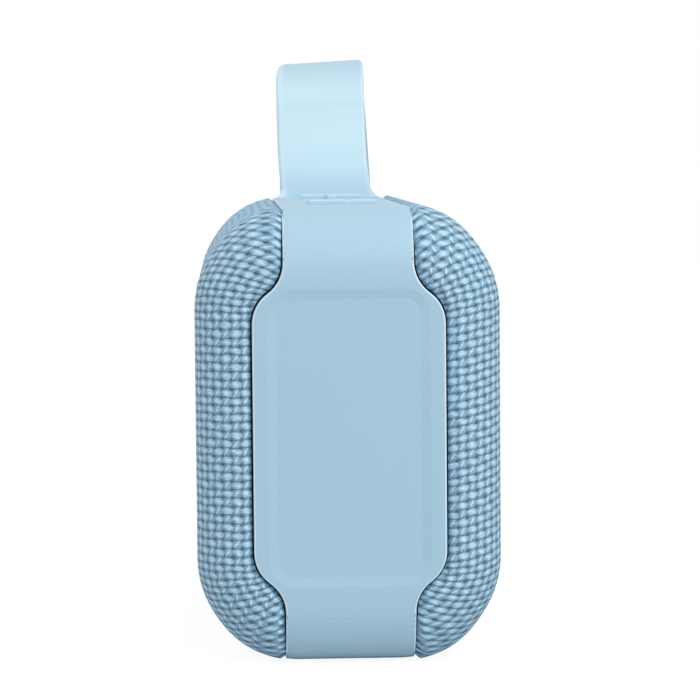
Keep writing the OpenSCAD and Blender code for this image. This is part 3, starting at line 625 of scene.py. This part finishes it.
arc_turn = 2 * math.atan((PLATE - BAND) / SHOULDER)
arc_r = SHOULDER / (2 * math.sin(arc_turn))


def belt_gap(y, z):
    """How far a point is outside the belt's outline, below 0 where the belt covers it."""
    z = abs(z)
    if z <= STRAIGHT:
        return y - PLATE
    if z >= STRAIGHT + SHOULDER:
        return y - BAND
    low = Vector((PLATE - arc_r, STRAIGHT))
    high = Vector((BAND + arc_r, STRAIGHT + SHOULDER))
    spot = Vector((y, z))
    if z < STRAIGHT + SHOULDER / 2:
        return (spot - low).length - arc_r
    # Beyond the middle of the hollow arc its own circle no longer measures outwards.
    if y > high.x:
        return arc_r - abs(z - high.y) + y - high.x
    return arc_r - (spot - high).length


print("shoulder arcs of", round(arc_r, 2), "mm through", round(math.degrees(arc_turn), 1), "degrees")

# %% [markdown]
# ## The edge of the cover
# Along the top the cloth nearly meets the belt, and round the two ends a gap opens beside it. The
# rear cover has one more edge, round the port panel. A flat grid is trimmed by whole points, which
# leaves steps, so the points of the rim are then walked onto the true line.

# %% Where the cover is cut
# In mm: the gap on the long runs, how much wider it is at an end, and from where it opens, over how far.
SEAM, SEAM_WIDER = 0.08, 0.3
OPENS_FROM, OPENS_OVER = 59, 9
# Half the length and height of the rear port panel with its round ends, its place above the middle of
# the body, and the gap round it.
PANEL_LONG, PANEL_HIGH, PANEL_RISE, PANEL_GAP = 22.0, 5.9, 21.6, 0.1


def opened(along):
    """The seam beside the belt is shut on the long runs, and opens once it is over an end."""
    return eased((abs(along) - OPENS_FROM) / OPENS_OVER)


def gap_at(flat, side):
    """How far a point of the flat cloth is from its cover's nearest edge, below 0 where it is cut."""
    spot = lay(flat.x, flat.y)
    gap = belt_gap(spot.y, spot.z) - SEAM - SEAM_WIDER * opened(flat.x)
    if side > 0:
        past_end = max(0.0, abs(spot.x) - (PANEL_LONG - PANEL_HIGH))
        gap = min(gap, math.hypot(past_end, spot.z - PANEL_RISE) - PANEL_HIGH - PANEL_GAP)
    return gap


print("the gap beside the belt is", SEAM, "mm, and", SEAM + SEAM_WIDER, "mm at an end")

# %% Draw the rim onto the line
# In mm: how near is near enough, the step that feels the slope, the longest single move, and the
# furthest a point may go in all, which is about one square of the grid.
NEAR_ENOUGH, FEEL, LONGEST_MOVE, FURTHEST = 0.004, 0.02, 0.4, 1.1
MOVES = 12


def drawn_to_edge(flat, side):
    start = flat.copy()
    for _ in range(MOVES):
        gap = gap_at(flat, side)
        if abs(gap) < NEAR_ENOUGH:
            break
        ahead = Vector((gap_at(flat + Vector((FEEL, 0, 0)), side) - gap,
                        gap_at(flat + Vector((0, FEEL, 0)), side) - gap, 0)) / FEEL
        if ahead.length < 0.02:
            break
        move = ahead * (-gap / ahead.length_squared)
        if move.length > LONGEST_MOVE:
            move *= LONGEST_MOVE / move.length
        flat = flat + move
    drift = flat - start
    return start + drift * (FURTHEST / drift.length) if drift.length > FURTHEST else flat


spot = drawn_to_edge(Vector((0.0, 44.0, 0.0)), -1)
print("the cut runs", round(spot.y, 2), "mm from the middle of the cloth")

# %% [markdown]
# ## The padding and the tuck
# A thin foam lies under the cloth and lifts it, more where it turns onto the top and the underside.
# Close to the belt the cloth tucks down into a groove, a quarter-round in section, which leaves the
# thin dark line beside the belt.

# %% The padding and the tuck
# For the front (-1) and rear (1) cover: the lift in mm all over, and what comes to it on the turn,
# from so many degrees and over so many.
FULL = {-1: (0.35, 0.65), 1: (0.1, 0.45)}
FULL_FROM, FULL_OVER = 30, 35
# Over how many mm beside the belt the lift comes in, on the long runs and more at an end.
RISE_OVER, RISE_OVER_MORE = 0.7, 1.3
# The tuck's depth and width in mm on the long runs, and how much more at an end.
TUCK_DEEP, TUCK_WIDE = (0.25, 1.05), (0.8, 0.8)


def fullness(along, around, gap, side):
    """The padding's lift in mm, with none at the belt or on the end."""
    turned = math.degrees(max(0.0, abs(around) - flat_z) / corner_r)
    over_end = max(0.0, abs(along) - end_start) / end_turn
    lift = FULL[side][0] + FULL[side][1] * eased((turned - FULL_FROM) / FULL_OVER)
    return lift * eased(gap / (RISE_OVER + RISE_OVER_MORE * opened(along))) * (1 - eased(over_end))


def tucked(along, gap):
    """How deep in mm the cloth is below where it would lie free."""
    deep, wide = (low + more * opened(along) for low, more in (TUCK_DEEP, TUCK_WIDE))
    near = max(0.0, 1 - gap / wide)
    return deep * (1 - math.sqrt(max(0.0, 1 - near * near)))


print("the tuck is", TUCK_DEEP[0], "to", sum(TUCK_DEEP), "mm deep")

# %% [markdown]
# ## Cutting and laying the cover
# A flat grid is the cut cloth. Its spare part under the belt is trimmed away, the rim that is left is
# drawn onto the outline, and only then is the whole sheet laid over the body. The flat measures are
# kept in two UV maps, one for the cut and one for the yarns.

# %% Cut the flat cloth
GRID = 0.75
# Half the cut cloth's length and height: as far as it has to reach over an end and towards the belt.
REACH_ALONG = end_start + end_turn + 7.0
REACH_AROUND = flat_z + corner_r * (math.pi / 2 - 0.05)
OFF_THE_LINE = 0.05


def cut_cloth(name, side):
    bm = bmesh.new()
    bmesh.ops.create_grid(bm, x_segments=round(2 * REACH_ALONG / GRID),
                          y_segments=round(2 * REACH_AROUND / GRID), size=1)
    bmesh.ops.scale(bm, verts=bm.verts, vec=(REACH_ALONG, REACH_AROUND, 1))
    spare = [v for v in bm.verts if gap_at(v.co, side) < 0]
    bmesh.ops.delete(bm, geom=spare, context="VERTS")
    bmesh.ops.delete(bm, geom=[v for v in bm.verts if not v.link_faces], context="VERTS")
    rim = [v for v in bm.verts if v.is_boundary]
    for v in rim:
        v.co = drawn_to_edge(v.co, side)
    missed = sum(abs(gap_at(v.co, side)) > OFF_THE_LINE for v in rim)
    print(name, "edge points", len(rim), "off the line", missed)
    flat_map = bm.loops.layers.uv.new("flat_mm")
    thread_map = bm.loops.layers.uv.new("threads_mm")
    for face in bm.faces:
        for loop in face.loops:
            loop[flat_map].uv = loop.vert.co.xy
            loop[thread_map].uv = threads(loop.vert.co.x, loop.vert.co.y, side)
    return bm


print("the cloth is cut from", round(2 * REACH_ALONG, 1), "by", round(2 * REACH_AROUND, 1), "mm")

# %% Lay it over the body
STEP_IN = 0.02
# Under the body the padding is pressed flat by what the speaker stands on, this many mm above it.
PRESSED = 0.04


def laid(along, around, side):
    """Where a point of the cut cloth ends up, in metres, with its padding and its tuck."""
    gap = gap_at(Vector((along, around, 0)), side)
    spot = lay(along, around)
    across = lay(along + STEP_IN, around) - spot
    upward = lay(along, around + STEP_IN) - spot
    out = across.cross(upward).normalized()
    if out.dot(Vector((spot.x * 0.2, spot.y, spot.z * 0.2))) < 0:
        out = -out
    spot += out * fullness(along, around, gap, side)
    spot -= out * tucked(along, gap)
    return Vector((spot.x, side * spot.y, max(spot.z + HEIGHT / 2, PRESSED))) * MM


def cover(name, node, side):
    bm = cut_cloth(name, side)
    area = sum(f.calc_area() for f in bm.faces)
    for v in bm.verts:
        v.co = laid(v.co.x, v.co.y, side)
    bmesh.ops.recalc_face_normals(bm, faces=bm.faces)
    face_middle = Vector((0, side * DEPTH / 2, HEIGHT / 2)) * MM
    middle = min(bm.faces, key=lambda f: (f.calc_center_median() - face_middle).length)
    if middle.normal.y * side < 0:
        bmesh.ops.reverse_faces(bm, faces=bm.faces)
    mesh = written(bm, name)
    mesh.shade_smooth()
    mesh.materials.append(cover_weave)
    made = placed(name, mesh)
    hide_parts(node)
    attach(made, "housing")
    print(name, len(mesh.polygons), "faces,", round(area), "square mm")


cover("front_cover_cloth", "front_cloth", -1)
cover("rear_cover_cloth", "rear_cloth", 1)

# %% [markdown]
# ## Rounded edges on the rubber
# A moulded rubber edge is never knife sharp. Each rubber part is copied and its loose triangles are
# joined, and a bevel rounds its sharp edges by a fraction of a millimetre. A bevel with a fixed angle
# limit would also tear round the key slots, where a face has holes, so the edges are picked first and
# the bevel goes by their weight.

# %% Join the triangles and pick the sharp edges
JOIN_WITHIN, CUT_WITHIN = 0.002, 0.0005
FLAT_WITHIN, SHARP_FROM = math.radians(0.6), math.radians(30)


def joined(node, keep):
    """A copy of a node with its flat triangles joined, apart from those that keep is true for."""
    bm = bmesh.new()
    bm.from_mesh(nodes[node].data)
    bmesh.ops.remove_doubles(bm, verts=bm.verts, dist=JOIN_WITHIN * MM)
    kept = {v for v in bm.verts if keep(v)}
    loose = [e for e in bm.edges if not kept.intersection(e.verts)]
    free = set(loose)
    bmesh.ops.dissolve_limit(bm, angle_limit=FLAT_WITHIN, edges=loose, delimit={"NORMAL"},
                             verts=[v for v in bm.verts if free.issuperset(v.link_edges)])
    return bm


def weigh_sharp_edges(bm, keep):
    weight = bm.edges.layers.float.new("bevel_weight_edge")
    for e in bm.edges:
        kept = all(keep(v) for v in e.verts)
        e[weight] = float(e.calc_face_angle(0) > SHARP_FROM and not kept)


print("edges over", round(math.degrees(SHARP_FROM)), "degrees are rounded")

# %% [markdown]
# ## One rubber part
# The part can be cut at some levels, for a bend to follow, and then bent by a function. Each point
# remembers how far across the part it was, as the strap's finish needs that after the strap is bent.
# The last modifier weighs the normals by area, so that flat faces stay flat beside their round edges.

# %% Copy a part, bend it and round its edges
EDGE_STEPS, NORMAL_WEIGHT = 3, 50


def rounded(name, node, body, skin, width, edge_skin=None, shape=None, crease=9.3, cuts=(),
            keep=lambda v: False):
    bm = joined(node, keep)
    for level in cuts:
        bmesh.ops.bisect_plane(bm, geom=bm.verts[:] + bm.edges[:] + bm.faces[:],
                               dist=CUT_WITHIN * MM, plane_co=(0, 0, level * MM), plane_no=(0, 0, 1))
    weigh_sharp_edges(bm, keep)
    across = bm.verts.layers.float.new("across_mm")
    for v in bm.verts:
        v[across] = v.co.y / MM
        if shape:
            v.co = shape(v.co)
    # The slope round the dish is flatter than any bevel's limit, so its edges are marked crisp.
    for e in bm.edges:
        e.smooth = e.calc_face_angle(0) < math.radians(crease)
    mesh = written(bm, name)
    mesh.materials.clear()
    for finish in (skin, edge_skin or skin):
        mesh.materials.append(finish)
    for face in mesh.polygons:
        face.use_smooth = True
    made = placed(name, mesh)
    if width:
        edge = made.modifiers.new("moulded_edge", "BEVEL")
        edge.width, edge.segments, edge.limit_method = width * MM, EDGE_STEPS, "WEIGHT"
        # The bevel's faces take the second finish, which on the belt and the keys is a painted highlight.
        edge.use_clamp_overlap, edge.material = False, 1
    flat = made.modifiers.new("flat_faces_stay_flat", "WEIGHTED_NORMAL")
    flat.mode, flat.weight, flat.keep_sharp = "FACE_AREA", NORMAL_WEIGHT, True
    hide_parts(node)
    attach(made, body)
    print(name, len(mesh.polygons), "faces")


print("a rounded edge has", EDGE_STEPS, "steps")

# %% [markdown]
# ## The strap's lean
# The strap is soft, so the loop does not stand quite as it was moulded. It leans to the back as soon
# as it leaves the belt, its free leg sinks and narrows a little, and the whole loop is twisted by
# three degrees. Its edges are round already, so they need no bevel.

# %% The strap leans and turns
# In mm: how far it leans and narrows as it rises, and over how much height it settles.
LEAN, SETTLES_OVER = 1.5, 7
NARROWER, NARROWER_FAR = 0.02, 0.06
# The free leg starts this far along the body, over this many mm, and sits this much lower.
FAR_FROM, FAR_OVER, FAR_LOWER = 60, 6, 8
# The two corners of the bend: from which height over the belt, over how much, and how much they turn
# in on the back and on the front.
CORNER_FROM, CORNER_OVER, CORNER_BACK, CORNER_FRONT = 27.5, 4.4, 1.1 / 10.5, 0.1 / 10.5
TWIST, TWIST_OVER = math.radians(3), 6


def leaning_loop(spot):
    above = max(0.0, spot.z / MM - HEIGHT)
    far = eased((spot.x / MM - FAR_FROM) / FAR_OVER)
    settled = 1 - math.exp(-max(0.0, spot.z / MM - HEIGHT + FAR_LOWER * far) / SETTLES_OVER)
    corner = max(0.0, (above - CORNER_FROM) / CORNER_OVER) ** 2
    corner *= CORNER_BACK if spot.y > 0 else CORNER_FRONT
    narrow = (1 - (NARROWER + NARROWER_FAR * far) * settled) * (1 - corner)
    twist = math.sin(TWIST) * min(1.0, above / TWIST_OVER)
    return Vector((spot.x, spot.y * narrow + LEAN * settled * MM, spot.z - twist * spot.y))


rounded("wrist_strap_loop", "wrist_strap", "housing", strap_silicone, 0,
        shape=leaning_loop, crease=50)

# %% [markdown]
# ## The belt's shoulders
# The end plates are flat in the middle, and start to turn a few millimetres before their round
# shoulders, so that the two flow together. The flat part has no points to bend there, so it is cut at
# eight levels above and below the middle first.

# %% The belt with its end plates
# In mm from the middle of the plate: where it starts to turn and over how much, and over how much the
# turn dies out again beyond that. The plate moves in by EASE at most.
EASE, EASE_FROM, EASE_OVER, EASE_OUT_OVER = 0.5, 29.6, 8.8, 6.6
EASE_ALONG = 3
CUTS, CUT_EVERY = 8, 1.1
# Half the length and width of the belt's top that holds the slots of the three keys, and its height.
SLOTS_LONG, SLOTS_WIDE, SLOTS_ABOVE = 52, 12, 80


def eased_shoulder(spot):
    out = abs(spot.z / MM - HEIGHT / 2)
    moved = EASE * eased((out - EASE_FROM) / EASE_OVER)
    moved *= 1 - eased((out - EASE_FROM - EASE_OVER) / EASE_OUT_OVER)
    moved *= eased((abs(spot.x) / MM - end_start) / EASE_ALONG)
    return Vector((spot.x - math.copysign(moved * MM, spot.x), spot.y, spot.z))


def in_key_slots(v):
    return (abs(v.co.x) < SLOTS_LONG * MM and abs(v.co.y) < SLOTS_WIDE * MM
            and v.co.z > SLOTS_ABOVE * MM)


levels = [HEIGHT / 2 + sign * (EASE_FROM + CUT_EVERY * i) for sign in (-1, 1) for i in range(CUTS)]
rounded("belt_and_end_plates", "belt", "housing", belt_silicone, 0.3,
        edge_skin=rim_highlight_silicone, shape=eased_shoulder, cuts=levels, keep=in_key_slots)

# %% [markdown]
# ## The three keys on top
# The minus, play and plus signs are the tops of three rubber keys that stand up through the belt.
# Each has the same small round edge, and moves with its own button.

# %% The three keys on top
for sign in ("minus", "play", "plus"):
    rounded(sign + "_key_skin", sign + "_key", sign + "_button", key_silicone, 0.3,
            edge_skin=key_edge_highlight_silicone)

# %% [markdown]
# ## Finishes for the pieces inside
# Each hidden piece has the finish that its real material has. They show when the flap is open or the
# model is taken apart. One recipe does for all: two close colours and a bump from one noise, drawn
# out along an axis where a tool or a winding leaves lines, and clear varnish where there is a coat.

# %% A plain recipe for hard finishes
def hard_finish(name, colour, second, scale_mm, roughness, metallic=0.0, bump_mm=0.02,
                stretch=(1, 1, 1), coat=0.0):
    made, tree = empty_material(name)
    where = add(tree, "TexCoord").outputs["Object"]
    pulled = add(tree, "Mapping", {"Vector": where, "Scale": stretch})
    pattern = add(tree, "TexNoise", {"Vector": pulled, "Scale": 1 / (scale_mm * MM), "Detail": 3.0})
    tint = add(tree, "MixRGB", {"Fac": pattern, "Color1": linear(colour), "Color2": linear(second)})
    bumps = add(tree, "Bump", {"Height": pattern, "Strength": 0.4, "Distance": bump_mm * MM})
    rub = add(tree, "MapRange", {"Value": pattern, "To Min": roughness - 0.05,
                                 "To Max": roughness + 0.05})
    skin = add(tree, "BsdfPrincipled", {"Base Color": tint, "Metallic": metallic, "Roughness": rub,
                                        "Normal": bumps, "IOR": 1.5, "Coat Weight": coat})
    add(tree, "OutputMaterial", {"Surface": skin})
    return made


FINISHES = {
    # Moulded parts are matte where the mould was spark eroded.
    "grille_plastic": hard_finish("abs_grille_spark_grain", "#5E93B2", "#5688A6", 0.3, 0.6),
    "case_plastic": hard_finish("abs_case_spark_grain", "#24282C", "#1C2024", 0.3, 0.55),
    "board_black": hard_finish("moulded_epoxy_package", "#1D1E20", "#141516", 0.2, 0.6),
    "plunger_plastic": hard_finish("nylon_moulded", "#D9D3C2", "#CBC4B2", 0.3, 0.5),
    "rubber_black": hard_finish("nitrile_rubber_moulded", "#1A1B1C", "#111213", 0.25, 0.7),
    "light_clear": hard_finish("polycarbonate_frosted", "#EEF3F5", "#E2EAEE", 0.3, 0.4),
    # Paint smooths pressed steel, turning leaves fine rings, and sintering leaves a dull, pitted face.
    "frame_steel": hard_finish("pressed_steel_black_paint", "#1B1C1E", "#131415", 0.5, 0.42),
    "bare_steel": hard_finish("turned_steel_zinc_plate", "#B9BBBD", "#A3A6A9", 0.15, 0.34,
                              metallic=1.0, bump_mm=0.004, stretch=(1, 1, 9)),
    "ferrite": hard_finish("sintered_ferrite", "#2A2B2D", "#1C1D1F", 0.2, 0.72, bump_mm=0.03),
    "copper": hard_finish("enamelled_copper_wire", "#C8693C", "#A4502A", 0.2, 0.3, metallic=1.0,
                          stretch=(1, 8, 1)),
    # Paper and resin-treated cotton are rough and soak up the light.
    "cone_paper": hard_finish("pressed_paper_cone", "#2B2D30", "#1F2123", 0.35, 0.85, bump_mm=0.05),
    "spider_cloth": hard_finish("resin_treated_cotton", "#C79A4C", "#A87E36", 0.4, 0.8,
                                bump_mm=0.06),
    # Varnish, film and shrink wrap have a clear gloss over their colour.
    "board_laminate": hard_finish("glass_epoxy_board_solder_mask", "#12513A", "#0D4130", 0.5, 0.35,
                                  bump_mm=0.008, coat=0.3),
    "ribbon_film": hard_finish("polyimide_film", "#C08A2C", "#A87420", 0.6, 0.28, bump_mm=0.004,
                               coat=0.2),
    "cell_wrap": hard_finish("pvc_shrink_film", "#3C86B8", "#33769F", 1.2, 0.3, bump_mm=0.01,
                             coat=0.3),
    "belt_silicone": belt_silicone,
    "strap_silicone": strap_silicone,
    "key_silicone": key_silicone,
    "woven_cloth": cover_weave,
}
print("finishes", len(FINISHES))

# %% Give every node its finish
slots = {part["node"]: part["material_slot"] for part in frame["record"]["subparts"]}
for node, slot in slots.items():
    mesh = nodes[node].data
    mesh.materials.clear()
    mesh.materials.append(FINISHES[slot])
print("finishes on", len(slots), "nodes")

# %% [markdown]
# ## The rings that flex
# Each cone hangs in a rubber surround and a cloth spider, and the passive radiator in a surround of
# its own. The inner edge is glued to what moves and the outer edge to a frame, so each ring bends
# between the two. A blend runs along one line, but a ring bends outwards in every direction, so its
# shares are measured again by how far across the ring a point is.

# %% A flat ring with enough circles to bend
TURNS = 72


def spun_ring(middle, inner, outer, thick, circles):
    """Spins a thin strip round the middle; its circles lie closer together towards the inner edge."""
    bm = bmesh.new()
    radii = [inner + (outer - inner) * (i / circles) ** 1.5 for i in range(circles + 1)]
    spots = [middle + Vector((r, 0, 0)) for r in radii]
    spots += [middle + Vector((r, thick, 0)) for r in reversed(radii)]
    strip = [bm.verts.new(spot) for spot in spots]
    edges = [bm.edges.new(ends) for ends in zip(strip, strip[1:] + strip[:1])]
    bmesh.ops.spin(bm, geom=strip + edges, cent=middle, axis=(0, 1, 0), steps=TURNS,
                   angle=2 * math.pi, use_merge=True)
    bmesh.ops.recalc_face_normals(bm, faces=bm.faces)
    return written(bm, "ring")


print("a spun ring has", TURNS, "steps round")

# %% Bend each ring between what moves and the housing
def bending_ring(name, node, moving, near, far, straight=0.0, circles=0):
    """Within near (mm from the middle) the ring follows the moving body, beyond far it stays put."""
    source = nodes[node].data
    low, high = (Vector([pick(v.co[i] for v in source.vertices) for i in range(3)])
                 for pick in (min, max))
    middle = Vector(((low.x + high.x) / 2, low.y, (low.z + high.z) / 2))

    def reach(spot):
        return math.hypot(max(0.0, abs(spot.x - middle.x) - straight * MM), spot.z - middle.z)

    if circles:
        reaches = [reach(v.co) for v in source.vertices]
        mesh = spun_ring(middle, min(reaches), max(reaches), high.y - low.y, circles)
    else:
        mesh = source.copy()
    mesh.name = name
    mesh.materials.clear()
    mesh.materials.append(FINISHES[slots[node]])
    made = placed(name, mesh)
    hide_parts(node)
    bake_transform(made, moving, "housing", start=middle + Vector((near * MM, 0, 0)),
             end=middle + Vector((far * MM, 0, 0)))
    across = [min(1.0, max(0.0, (reach(v.co) / MM - near) / (far - near))) for v in mesh.vertices]
    mesh.attributes["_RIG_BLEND"].data.foreach_set("value", [1 - (1 - t) ** 2 for t in across])
    print(name, len(mesh.vertices), "points, from", moving, "to the housing")


for hand in ("left", "right"):
    bending_ring(hand + "_spider_ring", hand + "_spider", hand + "_motion", 6.82, 8.45, circles=24)
    bending_ring(hand + "_surround_ring", hand + "_surround", hand + "_motion", 15.85, 19.25)
bending_ring("radiator_surround_ring", "radiator_surround", "radiator_motion", 7.75, 10.85,
             straight=25.5)
